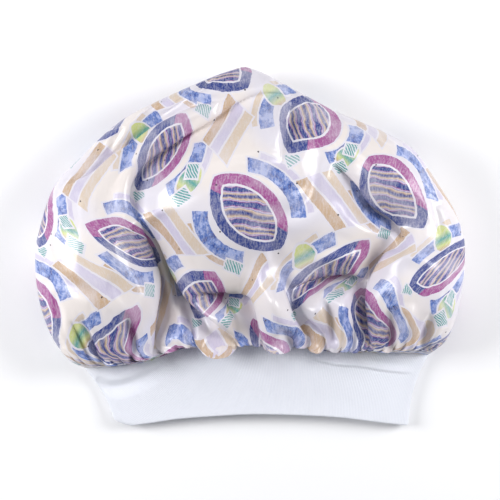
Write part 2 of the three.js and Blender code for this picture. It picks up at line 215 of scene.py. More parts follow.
SEAM_DIPS = 0.7  # share of the folds' depth that is left at the seam
UNDER_GATHERS = (18, 2.6, 4, 52)  # number, height, and where they start and end above the seam
UNDER_SHORTEST = 0.6  # the shortest of them, as a share of the longest
SEAM_REACH = 58  # distance over which the seam's line and roll give way to the crown's
STAND_REACH = 17  # distance over which the satin stands up from the band
SIDE_FULLNESS = (1.15, 1.4)  # how soon the front layer reaches its height from the sides, factor and power
LEAN_START = 2  # where the gathers start to hang over the band
LEAN_REACH = 12  # where they hang out furthest
TURN_REACH = 62  # where the satin has turned back to its own place
TURN_POWER = 1.4

# Shallow folds across the band's front layer: reach to the right and to the left of the line's way, and the
# line's x, y and depth, negative where the knit stands up
BAND_FOLDS = {
    "right": (7, 1.8, [
        (138, -107, -0.6), (116, -105, -1.6), (92, -101, -2.2), (70, -99, -2), (34, -90, 0),
    ]),
    "left": (12, 7, [
        (-131, -114, 2.4), (-119, -119, 3.8), (-104, -117, 3.4), (-84, -108, 2.4), (-60, -94, 0),
    ]),
}
FOOT_CORNER = 6  # radius of the band's left corner
STITCH_STEP = 0.82  # distance along the ribs between the band's rows of points
RIB_SLANT = 22  # how far the knit's ribs lean at the left end, seam to free edge
SEAM_ALLOWANCE = 4

SAMPLES = 800
LINE_STEPS = 12  # steps of a fold's curve for each of its given points
SEAM_GAP = 0.3  # between the satin and the band, as in the solids
COLUMN_DENSITY = 0.5  # how much closer the front's columns lie at the sides
PRINT_EVENED = 160  # times that the print's growth over folds is averaged with its neighbours
SIDE_TUCK = 0.6  # how far the seam allowance runs inwards for each millimetre of its length
TUCK = 0.35  # and how far down
# Where the satin's hold starts and ends to fade: above the seam, below the peak, and in from the sides as
# a share of the half width
SEWN = (2, 9)
PEAK_HELD = (4, 22)
EDGE_HELD = (0.08, 0.4)
RIB_SPAN = 265  # the band's width that its ribs are spread over


def smooth(value, low, high):
    """0 up to low and 1 from high on, with an even start and end."""
    share = np.clip((value - low) / (high - low), 0, 1)
    return share * share * (3 - 2 * share)


def mix(start, end, share):
    """The value at a share of the way from start to end."""
    return start + (end - start) * share


def quarter_round(share):
    """Rises steeply from 0 and levels off at 1, as a quarter of an ellipse does."""
    return np.sqrt(1 - (1 - np.clip(share, 0, 1)) ** 2)


def spline(points, count=SAMPLES):
    """Points along a smooth curve through the given ones."""
    points = np.array(points, float)
    last = len(points) - 1
    place = np.linspace(0, last, count)
    span = np.minimum(place.astype(int), last - 1)
    t = (place - span)[:, None]
    before, start, end, after = (points[np.clip(span + k, 0, last)] for k in (-1, 0, 1, 2))
    leaving, arriving = (end - before) / 2, (after - start) / 2
    curve = start * (2 * t**3 - 3 * t**2 + 1) + leaving * (t**3 - 2 * t**2 + t)
    return curve + end * (3 * t**2 - 2 * t**3) + arriving * (t**3 - t**2)


def along_curve(curve, share):
    """The curve's points at shares of its length."""
    steps = np.hypot(*np.diff(curve[:, :2], axis=0).T)
    length = np.concatenate([[0], np.cumsum(steps)])
    return [np.interp(share * length[-1], length, column) for column in curve.T]


SEAM_CURVE = spline(SEAM_LINE)[::-1]
FOOT_CURVE = spline(FOOT_LINE)[::-1]
LEFT_CURVE = spline(LEFT_OUTLINE)
RIGHT_CURVE = spline(RIGHT_OUTLINE)
SEAM_RIGHT = SEAM_LINE[0][0]
SEAM_LEFT = SEAM_LINE[-1][0]
SEAM_WIDTH = SEAM_RIGHT - SEAM_LEFT


def across_at(x):
    """A place on the seam as a share of its width, 0 at the right and 1 at the left."""
    return (SEAM_RIGHT - x) / SEAM_WIDTH


def point_across(curve, across):
    """A line's point at a share of its width, from right to left."""
    x = mix(curve[-1, 0], curve[0, 0], across)
    return x, np.interp(x, curve[:, 0], curve[:, 1])


SEAM_MIDDLE = float(point_across(SEAM_CURVE, across_at(0))[1])
CROWN_LENGTH = PEAK[1] - SEAM_MIDDLE


def inside(across):
    """0 at the sides and 1 in the middle."""
    return 2 * np.sqrt(np.clip(across * (1 - across), 0, None))


def lobes_rise(x, y):
    """Height that the lobes add over points of the plan."""
    top, foot = 0.15, 1.1  # where a lobe starts to fall and where it ends, as shares of its size
    rise = np.zeros_like(x)
    for centre_x, centre_y, long, wide, turn, height in LOBES.values():
        angle = math.radians(turn)
        along = ((x - centre_x) * math.cos(angle) + (y - centre_y) * math.sin(angle)) / long
        beside = ((y - centre_y) * math.cos(angle) - (x - centre_x) * math.sin(angle)) / wide
        rise += height * (1 - smooth(np.hypot(along, beside), top, foot))
    return rise


def beside_line(line, x, y):
    """For points of the plan: distance from a line, share of its length, value there and its left side."""
    curve = spline(line, LINE_STEPS * len(line))
    start, way = curve[:-1], np.diff(curve, axis=0)
    from_x, from_y = x[:, None] - start[:, 0], y[:, None] - start[:, 1]
    square = (way[:, :2] ** 2).sum(1)
    share = np.clip((from_x * way[:, 0] + from_y * way[:, 1]) / square, 0, 1)
    gaps = np.hypot(from_x - share * way[:, 0], from_y - share * way[:, 1])
    nearest = gaps.argmin(1)
    pick = (np.arange(len(x)), nearest)
    value = start[nearest, 2] + share[pick] * way[nearest, 2]
    left = np.stack([-way[nearest, 1], way[nearest, 0]]) / np.sqrt(square[nearest])
    is_left = way[nearest, 0] * from_y[pick] - way[nearest, 1] * from_x[pick] > 0
    return gaps[pick], (nearest + share[pick]) / len(start), value, left, is_left


def folds_of(x, y):
    """Depth of all folds at points of the plan, and how far the lobes' edges move sideways over them."""
    lobe_edge = 0.22  # where an overlapping lobe hangs out furthest, as a share of its reach
    others_share = 0.25
    seam_side = -75  # a line that ends below this y runs on to the seam
    dips = []
    moves = np.zeros((2, len(x)))
    for over, under, hang, line in FOLDS.values():
        gap, place, depth, left, is_over = beside_line(line, x, y)
        starts_at_seam, ends_at_seam = line[0][1] < seam_side, line[-1][1] < seam_side
        if not starts_at_seam:
            depth = depth * quarter_round(place / FOLD_END)
        if not ends_at_seam:
            depth = depth * quarter_round((1 - place) / FOLD_END)
        share = np.clip(gap / over, 0, 1)
        rolled = depth * (1 - quarter_round(share))
        dips.append(np.where(is_over, rolled, depth * (1 - smooth(gap, 0, under))))
        out = hang * depth * (share / lobe_edge) * np.exp(1 - share / lobe_edge) * (1 - share)
        moves -= np.where(is_over, out, 0) * left
    dips = np.array(dips)
    deepest = dips.max(0)
    return deepest + others_share * (dips.sum(0) - deepest), moves


def wrinkles_at(x, y):
    """Height of the small wrinkles at points of the plan."""
    height = np.zeros_like(x)
    for half_width, line in WRINKLES.values():
        gap, _, value, _, _ = beside_line(line, x, y)
        height += WRINKLE_SCALE * value * np.exp(-((gap / half_width) ** 2))
    return height


def gathers_at(across):
    """Rise, overhang, reach and crest of the gather at each place along the seam, and the place in it."""
    valleys = across_at(np.array([SEAM_RIGHT] + [row[0] for row in GATHERS]))
    index = np.clip(np.searchsorted(valleys, across, side="right") - 1, 0, len(GATHERS) - 1)
    place = (across - valleys[index]) / (valleys[index + 1] - valleys[index])
    rise, over, _ = np.array(GATHERS, float)[index, 1:].T
    reach = np.interp(across, (valleys[1:] + valleys[:-1]) / 2, [row[3] for row in GATHERS])
    crest = np.sqrt(np.clip(np.sin(np.pi * place), 0, None))
    return rise, over, reach, crest, place


def band_top(across, down):
    """Height of the band's front layer, at shares of its width and of its way down from the seam."""
    from_fold = np.minimum(across, 1 - across) * SEAM_WIDTH
    folded = BAND_FOLD / 2 * (1 + quarter_round(from_fold / BAND_ROLL))
    return folded + mix(SEAM_ARCH, FOOT_ARCH, smooth(down, 0, 1)) * np.sin(np.pi * across)


def crown_plan(from_seam, across):
    """Place in the plan at a distance from the seam, measured along the crown's middle."""

    def arc_at(distance):
        way = 1 - distance / CROWN_LENGTH
        left, right = along_curve(LEFT_CURVE, way), along_curve(RIGHT_CURVE, way)
        bow = mix(PEAK[1], SEAM_MIDDLE, way) - (left[1] + right[1]) / 2
        x = mix(right[0], left[0], across)
        return x, mix(right[1], left[1], across) + bow * 4 * across * (1 - across)

    seam_x, seam_y = point_across(SEAM_CURVE, across)
    start_x, start_y = arc_at(np.zeros_like(from_seam))
    x, y = arc_at(from_seam)
    near = 1 - smooth(from_seam, 0, SEAM_REACH)
    return x + (seam_x - start_x) * near, y + (seam_y - start_y) * near


def edge_height(from_seam):
    """Height of the crown's side edge."""
    return mix(BAND_FOLD / 2, OUTLINE_RISE, quarter_round(from_seam / SIDE_RISE))


def peak_round(from_seam):
    """How far a ring near the peak has rounded off from the side edge's height."""
    return quarter_round((CROWN_LENGTH - from_seam) / PEAK_ROLL)


def crown_front(from_seam, across):
    """Points of the front layer, with its lobes, folds, gathers and wrinkles."""
    rise, over, reach, crest, place = gathers_at(across)
    middle = inside(across)
    x, y = crown_plan(from_seam, across)
    leaned = -over * crest * smooth(from_seam, LEAN_START, LEAN_REACH)
    turned = np.clip((from_seam - LEAN_REACH) / (TURN_REACH - LEAN_REACH), 0, None) ** TURN_POWER
    y = y + np.where(from_seam < TURN_REACH, mix(leaned, TURN_REACH, turned) - from_seam, 0) * middle
    near = smooth(reach - from_seam, 0, reach) * middle
    pleat_count, pleat_rise, pleat_reach = PLEATS
    drift, drift_pace = PLEAT_DRIFT
    pleat = np.abs(np.sin(np.pi * pleat_count * across + drift * np.sin(drift_pace * across)))
    pleated = pleat_rise * pleat * smooth(pleat_reach - from_seam, 0, pleat_reach) * middle
    gathered = (rise * crest - GATHER_VALLEY * (1 - crest)) * near + pleated
    x = x + GATHER_SPREAD * np.sin(2 * np.pi * place) * near * smooth(from_seam, 0, LEAN_REACH)
    dips, moves = folds_of(x, y)
    full = PUFF_LEVEL + lobes_rise(x, y)
    settling = smooth(SETTLE_REACH - from_seam, 0, SETTLE_REACH)
    settled = mix(full, np.minimum(full, SEAM_LEVEL), settling)
    settled = settled - dips * mix(1, SEAM_DIPS, settling) + wrinkles_at(x, y) + gathered
    height = mix(band_top(across, 0), settled, quarter_round(from_seam / STAND_REACH))
    factor, power = SIDE_FULLNESS
    rounded = quarter_round(factor * middle**power) * peak_round(from_seam)
    free = smooth(from_seam, LEAN_REACH, 2 * LEAN_REACH) * rounded
    z = mix(edge_height(from_seam), height, rounded)
    return x + moves[0] * free, y + moves[1] * free, z


def crown_under(from_seam, across, share):
    """Points of the back layer, flat where it rests and gathered near the seam."""
    x, y = crown_plan(from_seam, across)
    width = along_curve(RIGHT_CURVE, 1 - from_seam / CROWN_LENGTH)[0]
    width = width - along_curve(LEFT_CURVE, 1 - from_seam / CROWN_LENGTH)[0]
    roll = mix(BAND_ROLL, CROWN_ROLL, smooth(from_seam, 0, SEAM_REACH))
    flat = quarter_round(np.minimum(across, 1 - across) * width / roll) * peak_round(from_seam)
    count, rise, start, end = UNDER_GATHERS
    wave = 0.5 - 0.5 * np.cos(2 * np.pi * count * share)
    pace = 7
    length = mix(UNDER_SHORTEST, 1, np.sin(pace * share) ** 2)
    near = smooth(end * length - from_seam, 0, end)
    lift = rise * wave * inside(across) * near * np.minimum(1, from_seam / start)
    return x, y, edge_height(from_seam) * (1 - flat) + lift


def blurred(field, axis, passes):
    """A field evened out along one axis by averaging neighbours."""
    for _ in range(passes):
        padded = np.pad(field, [(1, 1) if k == axis else (0, 0) for k in (0, 1)], mode="edge")
        low = np.take(padded, range(field.shape[axis]), axis)
        high = np.take(padded, range(2, field.shape[axis] + 2), axis)
        field = (low + 2 * field + high) / 4
    return field


def growth_along(points, plan, axis):
    """How much further apart points of the cloth are than in the plan, added up along an axis."""
    steps, plan_steps = (np.linalg.norm(np.diff(grid, axis=axis), axis=2) for grid in (points, plan))
    return np.insert(np.cumsum(steps - plan_steps, axis), 0, 0, axis)


def cloth_growth(points, plan):
    """Growth of the cloth over its plan from the middle column outwards and from the peak down, so that a
    print follows the cloth into its folds."""
    beside, along = growth_along(points, plan, 1), growth_along(points, plan, 0)
    beside -= beside[:, [points.shape[1] // 2]]
    along -= along[[-1]]
    return blurred(-beside, 0, PRINT_EVENED), blurred(along, 1, PRINT_EVENED)


def unfolded_back(points, plan):
    """Places of the back layer on the flat cloth, without the front's growth: the cloth runs on outwards from
    the crown's outline, so that a print passes round the sides and isn't mirrored there."""
    outline_evened, roll_evened = 200, 20  # times that each is averaged with its neighbours
    outline = np.concatenate([LEFT_CURVE[::-1], RIGHT_CURVE[1:]])
    outwards = blurred(np.gradient(outline, axis=0)[:, ::-1] * (-1, 1), 0, outline_evened)
    outwards /= np.linalg.norm(outwards, axis=1, keepdims=True)
    nearest = np.array([
        np.hypot(row[:, :1] - outline[:, 0], row[:, 1:] - outline[:, 1]).argmin(1) for row in plan
    ])
    way = outwards[nearest]
    far = ((outline[nearest] - plan) * way).sum(2, keepdims=True)
    from_left = growth_along(points, plan, 1)
    rolled = blurred(np.minimum(from_left, from_left[:, -1:] - from_left), 0, roll_evened)
    return plan + way * (2 * far + rolled[:, :, None])


def linear(hex_colour):
    """An sRGB hex colour as linear RGBA."""
    channels = [int(hex_colour[i:i + 2], 16) / 255 for i in (1, 3, 5)]
    rgb = [c / 12.92 if c <= 0.04045 else ((c + 0.055) / 1.055) ** 2.4 for c in channels]
    return (*rgb, 1.0)


def add_node(tree, kind, inputs, out=0, stops=(), **settings):
    """Adds a node with its inputs' values or links, its settings and the stops of its colour ramp, and
    returns one of its outputs."""
    node = tree.nodes.new("ShaderNode" + kind)
    for name, value in settings.items():
        setattr(node, name, value)
    if stops:
        ramp = node.color_ramp.elements
        ramp.remove(ramp[1])
        ramp[0].position, ramp[0].color = stops[0]
        for position, ink in stops[1:]:
            ramp.new(position).color = ink
    for name, value in inputs.items():
        if isinstance(value, bpy.types.NodeSocket):
            tree.links.new(value, node.inputs[name])
        else:
            node.inputs[name].default_value = value
    return node.outputs[out] if len(node.outputs) else node


CLOTH_UV = "cloth"


def new_material(name):
    """An empty node material and its tree."""
    material = bpy.data.materials.new(name)
    material.use_nodes = True
    material.node_tree.nodes.clear()
    return material, material.node_tree


def flat_cloth(tree):
    """A point's place on the flat cloth, in millimetres."""
    uv = add_node(tree, "UVMap", {}, uv_map=CLOTH_UV)
    return add_node(tree, "VectorMath", {0: uv, "Scale": 1 / MM}, operation="SCALE")


# The printed pattern, in millimetres on the flat cloth: each cell of the print holds these motifs, later ones
# over earlier ones. kind, centre, turn in degrees, and the kind's sizes
CELL = (140, 148)
CELL_TURN = -12
MOTIFS = [
    ("arc", (0, 0), 30, (50.5, 2.8, 38, "lavender")),
    ("arc", (0, 0), 212, (50, 2.6, 34, "ochre")),
    ("arc", (71, 74), 146, (50.5, 2.6, 34, "sand")),
    ("arc", (71, 74), -40, (49.5, 2.6, 28, "lavender")),
    ("arc", (0, 0), 34, (40.5, 6.3, 46, "blue")),
    ("arc", (0, 0), 208, (40, 6.3, 42, "blue")),
    ("arc", (71, 74), 140, (40.5, 6.3, 44, "blue")),
    ("arc", (71, 74), -44, (40, 6, 38, "blue")),
    ("bars", (72, -3), 24, (27,)),
    ("bars", (-3, 78), -36, (26,)),
    ("oval", (44, -45), 30, (8, 14)),
    ("oval", (-43, 37), -50, (8.5, 13.5)),
    ("hatch", (88, 25), 24, (7, 5.5)),
    ("hatch", (-24, 104), -36, (7, 5)),
    ("hatch", (46, 40), 10, (6, 5)),
    ("hatch", (101, 44), -20, (5, 6)),
    ("leaf", (0, 0), 32, (27, 41)),
    ("leaf", (71, 74), -42, (26, 40)),
]
INKS = (
    "ground", "cream", "navy", "blue", "sky", "magenta", "violet", "ochre", "sand", "lavender", "teal",
    "lime", "speck",
)
BORDER = 1.6  # unprinted line round each motif
LEAF_BAND = 8.5
BAR_WIDTH = 9
BAR_GAP = 1.8
WAVE_SCALE = 0.314  # of a wave texture whose bands lie 1 mm apart


def motif_place(tree, point, centre, turn_degrees):
    """Coordinates round the nearest motif of a kind, which stands once in each cell of the print."""
    moved = add_node(tree, "VectorMath", {0: point, 1: (*centre, 0)}, operation="SUBTRACT")
    high, low = (CELL[0] / 2, CELL[1] / 2, 0), (-CELL[0] / 2, -CELL[1] / 2, 0)
    wrapped = add_node(tree, "VectorMath", {0: moved, 1: high, 2: low}, operation="WRAP")
    turn = math.radians(turn_degrees)
    return add_node(tree, "VectorRotate", {"Vector": wrapped, "Angle": -turn}, rotation_type="Z_AXIS")


def marbled(tree, place, inks):
    """Marbled streaks for the leaves' hearts, about 9 mm apart."""
    period = 9
    wave = add_node(tree, "TexWave", {
        "Vector": place, "Scale": WAVE_SCALE / period, "Distortion": 4, "Detail": 3, "Detail Scale": 0.8,
    }, wave_type="BANDS", bands_direction="DIAGONAL", out="Color")
    names = [
        (0, "navy"), (0.2, "ochre"), (0.36, "sand"), (0.46, "violet"), (0.62, "lavender"),
        (0.7, "magenta"), (0.85, "navy"), (1, "navy"),
    ]
    return add_node(tree, "ValToRGB", {"Fac": wave}, stops=[(at, inks[name]) for at, name in names])


def leaf_layers(tree, place, axes, sizes, inks):
    """A pointed leaf, which is where two circles overlap: a band, blue on one side and magenta on the other,
    round a marbled heart."""
    half_width, half_length = sizes
    radius = (half_width**2 + half_length**2) / (2 * half_width)
    folded = add_node(tree, "VectorMath", {0: place}, operation="ABSOLUTE")
    shift = (radius - half_width, 0, 0)
    moved = add_node(tree, "VectorMath", {0: folded, 1: shift}, operation="ADD")
    length = add_node(tree, "VectorMath", {0: moved}, operation="LENGTH", out=1)
    depth = add_node(tree, "Math", {0: radius, 1: length}, operation="SUBTRACT")
    lean, start = 0.35, 3  # of the line that parts the band's two colours
    side = add_node(tree, "Math", {0: axes["Y"], 1: lean, 2: axes["X"]}, operation="MULTIPLY_ADD")
    side = add_node(tree, "Math", {0: side, 1: start}, operation="GREATER_THAN")
    sides = {0: side, 6: inks["navy"], 7: inks["magenta"]}
    band = add_node(tree, "Mix", sides, out=2, data_type="RGBA")
    heart = marbled(tree, place, inks)
    return depth, [
        (band, depth, 0), (inks["ground"], depth, LEAF_BAND), (heart, depth, LEAF_BAND + BAR_GAP),
    ]


def dappled(tree, place, inks):
    """Blue that is dark in small spots and fades to light blue in patches of about 14 mm."""
    patches = add_node(tree, "TexNoise", {
        "Vector": place, "Scale": 1 / 14, "Detail": 5, "Roughness": 0.8,
    }, noise_dimensions="2D")
    stops = [(0.36, inks["navy"]), (0.46, inks["blue"]), (0.5, inks["blue"]), (0.6, inks["sky"])]
    return add_node(tree, "ValToRGB", {"Fac": patches}, stops=stops)


def arc_layers(tree, place, axes, sizes, inks):
    """A piece of a broad ring with straight ends."""
    radius, half_width, half_span, ink = sizes
    away = add_node(tree, "VectorMath", {0: place}, operation="LENGTH", out=1)
    off = add_node(tree, "Math", {0: away, 1: radius}, operation="SUBTRACT")
    off = add_node(tree, "Math", {0: off}, operation="ABSOLUTE")
    across = add_node(tree, "Math", {0: half_width, 1: off}, operation="SUBTRACT")
    angle = add_node(tree, "Math", {0: axes["Y"], 1: axes["X"]}, operation="ARCTAN2")
    angle = add_node(tree, "Math", {0: angle}, operation="ABSOLUTE")
    half_way = radius * math.radians(half_span)
    along = add_node(tree, "Math", {0: angle, 1: -radius, 2: half_way}, operation="MULTIPLY_ADD")
    depth = add_node(tree, "Math", {0: across, 1: along}, operation="MINIMUM")
    return depth, [(dappled(tree, place, inks) if ink == "blue" else inks[ink], depth, 0)]


def box_depth(tree, axes, sizes):
    """Depth inside a rectangle."""
    depths = []
    for axis, half in zip(("X", "Y"), sizes):
        off = add_node(tree, "Math", {0: axes[axis]}, operation="ABSOLUTE")
        depths.append(add_node(tree, "Math", {0: half, 1: off}, operation="SUBTRACT"))
    return add_node(tree, "Math", {0: depths[0], 1: depths[1]}, operation="MINIMUM")


def bars_layers(tree, place, axes, sizes, inks):
    """Bars side by side in turn of three inks, with slanting ends."""
    slant = 0.45
    bars = ("ochre", "lavender", "sand")
    whole = len(bars) * (BAR_WIDTH + BAR_GAP)
    half_width = (whole - BAR_GAP) / 2
    leaned = add_node(tree, "Math", {0: axes["X"], 1: slant, 2: axes["Y"]}, operation="MULTIPLY_ADD")
    depth = box_depth(tree, {"X": axes["X"], "Y": leaned}, (half_width, *sizes))
    sums = {0: axes["X"], 1: 1 / whole, 2: half_width / whole}
    share = add_node(tree, "Math", sums, operation="MULTIPLY_ADD")
    stops = []
    for index, name in enumerate(bars):
        stops.append((index / len(bars), inks[name]))
        stops.append(((index + 1) / len(bars) - BAR_GAP / whole, inks["ground"]))
    cover = add_node(tree, "ValToRGB", {"Fac": share}, stops=stops)
    cover.node.color_ramp.interpolation = "CONSTANT"
    return depth, [(cover, depth, 0)]


def oval_layers(tree, place, axes, sizes, inks):
    """An oval that shades from lime to teal and back along its length."""
    half_width, half_length = sizes
    scale = (1, half_width / half_length, 0)
    scaled = add_node(tree, "VectorMath", {0: place, 1: scale}, operation="MULTIPLY")
    length = add_node(tree, "VectorMath", {0: scaled}, operation="LENGTH", out=1)
    depth = add_node(tree, "Math", {0: half_width, 1: length}, operation="SUBTRACT")
    share = add_node(tree, "Math", {0: axes["Y"], 1: 0.5 / half_length, 2: 0.5}, operation="MULTIPLY_ADD")
    stops = [(0.05, inks["ochre"]), (0.25, inks["lime"]), (0.5, inks["teal"]), (0.75, inks["lime"])]
    return depth, [(add_node(tree, "ValToRGB", {"Fac": share}, stops=stops), depth, 0)]


def hatch_layers(tree, place, axes, sizes, inks):
    """A small patch of slanting teal strokes."""
    slant, strokes_apart = 0.7, 2.6
    depth = box_depth(tree, axes, sizes)
    slanted = add_node(tree, "Math", {0: axes["Y"], 1: slant, 2: axes["X"]}, operation="MULTIPLY_ADD")
    wave = add_node(tree, "Math", {0: slanted, 1: strokes_apart / 2}, operation="PINGPONG")
    stroke = add_node(tree, "Math", {0: wave, 1: strokes_apart / 5}, operation="SUBTRACT")
    stroke = add_node(tree, "Math", {0: stroke, 1: depth}, operation="MINIMUM")
    return depth, [(inks["teal"], stroke, 0)]


# Each gives the depth inside its motif, and its layers: ink, depth inside the layer, and where it starts
LAYERS_OF = {
    "leaf": leaf_layers, "arc": arc_layers, "bars": bars_layers, "oval": oval_layers, "hatch": hatch_layers,
}


def ink_strength(tree, point):
    """How strongly the ink covers: broad washes of about 40 mm, slanting brush streaks of about 1 mm and
    fine grains."""
    slanted = add_node(tree, "Mapping", {
        "Vector": point, "Rotation": (0, 0, math.radians(-38)), "Scale": (1 / 1.4, 1 / 6, 1),
    })
    # coordinates, scale, detail and distortion of the noise, its range, and the least strength
    washes = [
        (point, 1 / 36, 2, 0, (0.36, 0.52), 0.7),
        (slanted, 1, 4, 0.9, (0.36, 0.54), 0.72),
        (point, 1 / 1.6, 1, 0, (0.35, 0.5), 0.86),
    ]
    strengths = []
    for place, scale, detail, distortion, (low, high), least in washes:
        noise = add_node(tree, "TexNoise", {
            "Vector": place, "Scale": scale, "Detail": detail, "Distortion": distortion,
        }, noise_dimensions="2D")
        strengths.append(add_node(tree, "MapRange", {
            "Value": noise, "From Min": low, "From Max": high, "To Min": least, "To Max": 1,
        }))
    strokes = add_node(tree, "Math", {0: strengths[0], 1: strengths[1]}, operation="MULTIPLY")
    return add_node(tree, "Math", {0: strokes, 1: strengths[2]}, operation="MULTIPLY")


def satin_print(tree, point, inks):
    """Colour of the printed satin at a point of the flat cloth, in millimetres."""
    edge_noise, edge_move, tint_size = 0.22, 1.2, 90
    rough = add_node(tree, "TexNoise", {
        "Vector": point, "Scale": edge_noise, "Detail": 2,
    }, noise_dimensions="2D", out="Color")
    centred = add_node(tree, "VectorMath", {0: rough, 1: (0.5, 0.5, 0.5)}, operation="SUBTRACT")
    moved = {0: centred, 1: (edge_move, edge_move, 0), 2: point}
    uneven = add_node(tree, "VectorMath", moved, operation="MULTIPLY_ADD")
    turn = math.radians(CELL_TURN)
    turned = add_node(tree, "VectorRotate", {"Vector": uneven, "Angle": turn}, rotation_type="Z_AXIS")
    strength = ink_strength(tree, point)
    patches = {"Vector": point, "Scale": 1 / tint_size, "Detail": 1}
    tint = add_node(tree, "TexNoise", patches, noise_dimensions="2D")
    tint = add_node(tree, "MapRange", {
        "Value": tint, "From Min": 0.42, "From Max": 0.58, "To Min": 0, "To Max": 1,
    })
    tints = {0: tint, 6: inks["ground"], 7: inks["cream"]}
    colour = add_node(tree, "Mix", tints, out=2, data_type="RGBA")
    for kind, centre, motif_turn, sizes in MOTIFS:
        place = motif_place(tree, turned, centre, motif_turn)
        axes = add_node(tree, "SeparateXYZ", {0: place}).node.outputs
        depth, layers = LAYERS_OF[kind](tree, place, axes, sizes, inks)
        for ink, inner_depth, limit in [(inks["ground"], depth, -BORDER), *layers]:
            mask = add_node(tree, "Math", {0: inner_depth, 1: limit}, operation="GREATER_THAN")
            if ink is not inks["ground"]:
                mask = add_node(tree, "Math", {0: mask, 1: strength}, operation="MULTIPLY")
            colour = add_node(tree, "Mix", {0: mask, 6: colour, 7: ink}, out=2, data_type="RGBA")

    # a few dark specks
    speck_gap, speck_radius = 46, 0.75
    cells = {"Vector": point, "Scale": 1 / speck_gap}
    nearest = add_node(tree, "TexVoronoi", cells, out="Distance", voronoi_dimensions="2D")
    speck = add_node(tree, "Math", {0: nearest, 1: speck_radius / speck_gap}, operation="LESS_THAN")
    return add_node(tree, "Mix", {0: speck, 6: colour, 7: inks["speck"]}, out=2, data_type="RGBA")


def printed_satin(settings):
    """Printed polyester satin: long floats of shiny thread give it soft, wide highlights along its folds."""
    material, tree = new_material("printed polyester satin")
    inks = {name: getattr(settings, name) for name in INKS}
    point = flat_cloth(tree)
    colour = satin_print(tree, point, inks)
    # the weave's floats are 0.3 mm wide, and are drawn about 1 mm wide so that they show
    floats = add_node(tree, "Mapping", {
        "Vector": point, "Rotation": (0, 0, math.radians(27)), "Scale": (1 / 0.9, 1 / 6, 1),
    })
    weave = add_node(tree, "TexNoise", {"Vector": floats, "Scale": 1, "Detail": 2}, noise_dimensions="2D")
    bump = add_node(tree, "Bump", {"Strength": 0.12, "Distance": 0.3 * MM, "Height": weave})
    shader = add_node(tree, "BsdfPrincipled", {
        "Base Color": colour, "Roughness": settings.roughness, "Normal": bump, "Specular IOR Level": 0.6,
    })
    add_node(tree, "OutputMaterial", {"Surface": shader})
    return material


def rib_knit(settings):
    """White cotton and elastane rib knit, soft and matte, with wales that show as fine even lines, and
    painted shade that darkens the grooves between them.
    """
    material, tree = new_material("white rib knit")
    point = flat_cloth(tree)
    rib = settings.rib / MM
    wales = add_node(tree, "TexWave", {
        "Vector": point, "Scale": WAVE_SCALE / rib, "Distortion": 0.35, "Detail": 1, "Detail Scale": 0.6,
    }, wave_type="BANDS", bands_direction="X")
    stitches = add_node(tree, "TexWave", {
        "Vector": point, "Scale": WAVE_SCALE / (0.8 * rib), "Distortion": 0.6, "Detail": 1,
    }, wave_type="BANDS", bands_direction="Y")
    height = add_node(tree, "Math", {0: stitches, 1: 0.3, 2: wales}, operation="MULTIPLY_ADD")
    # painted shade: between the wales the knit's colour is mixed up to a quarter of the way towards the
    # darker groove colour
    shade = add_node(tree, "MapRange", {
        "Value": wales, "From Min": 0, "From Max": 1, "To Min": 0.25, "To Max": 0,
    })
    shades = {0: shade, 6: settings.knit, 7: settings.groove}
    shaded_grooves = add_node(tree, "Mix", shades, out=2, data_type="RGBA")
    bump = add_node(tree, "Bump", {"Strength": 0.5, "Distance": 0.35 * MM, "Height": height})
    shader = add_node(tree, "BsdfPrincipled", {
        "Base Color": shaded_grooves, "Roughness": 0.85, "Normal": bump, "Specular IOR Level": 0.3,
        "Sheen Weight": 0.3, "Sheen Roughness": 0.6,
    })
    add_node(tree, "OutputMaterial", {"Surface": shader})
    return material


def plain_floor(settings):
    """Matte painted board, plain and pale."""
    material, tree = new_material("pale matte board")
    shader = add_node(tree, "BsdfPrincipled", {
        "Base Color": settings.floor, "Roughness": 0.9, "Specular IOR Level": 0.1,
    })
    add_node(tree, "OutputMaterial", {"Surface": shader})
    return material


PRINT_JUMP = 30  # a face whose corners lie further apart on the cloth spans the middle of the back


def frame_shift():
    """From the plan's own axes to the frame's, in millimetres: the peak and the rightmost point match."""
    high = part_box("crown")[1]
    return np.array([high.x / MM - RIGHT_CURVE[:, 0].max(), high.y / MM - PEAK[1], 0])


def scene_object(name, mesh):
    """Turns a bmesh into an object of the scene."""
    data = bpy.data.meshes.new(name)
    mesh.to_mesh(data)
    mesh.free()
    made = bpy.data.objects.new(name, data)
    bpy.context.scene.collection.objects.link(made)
    return made


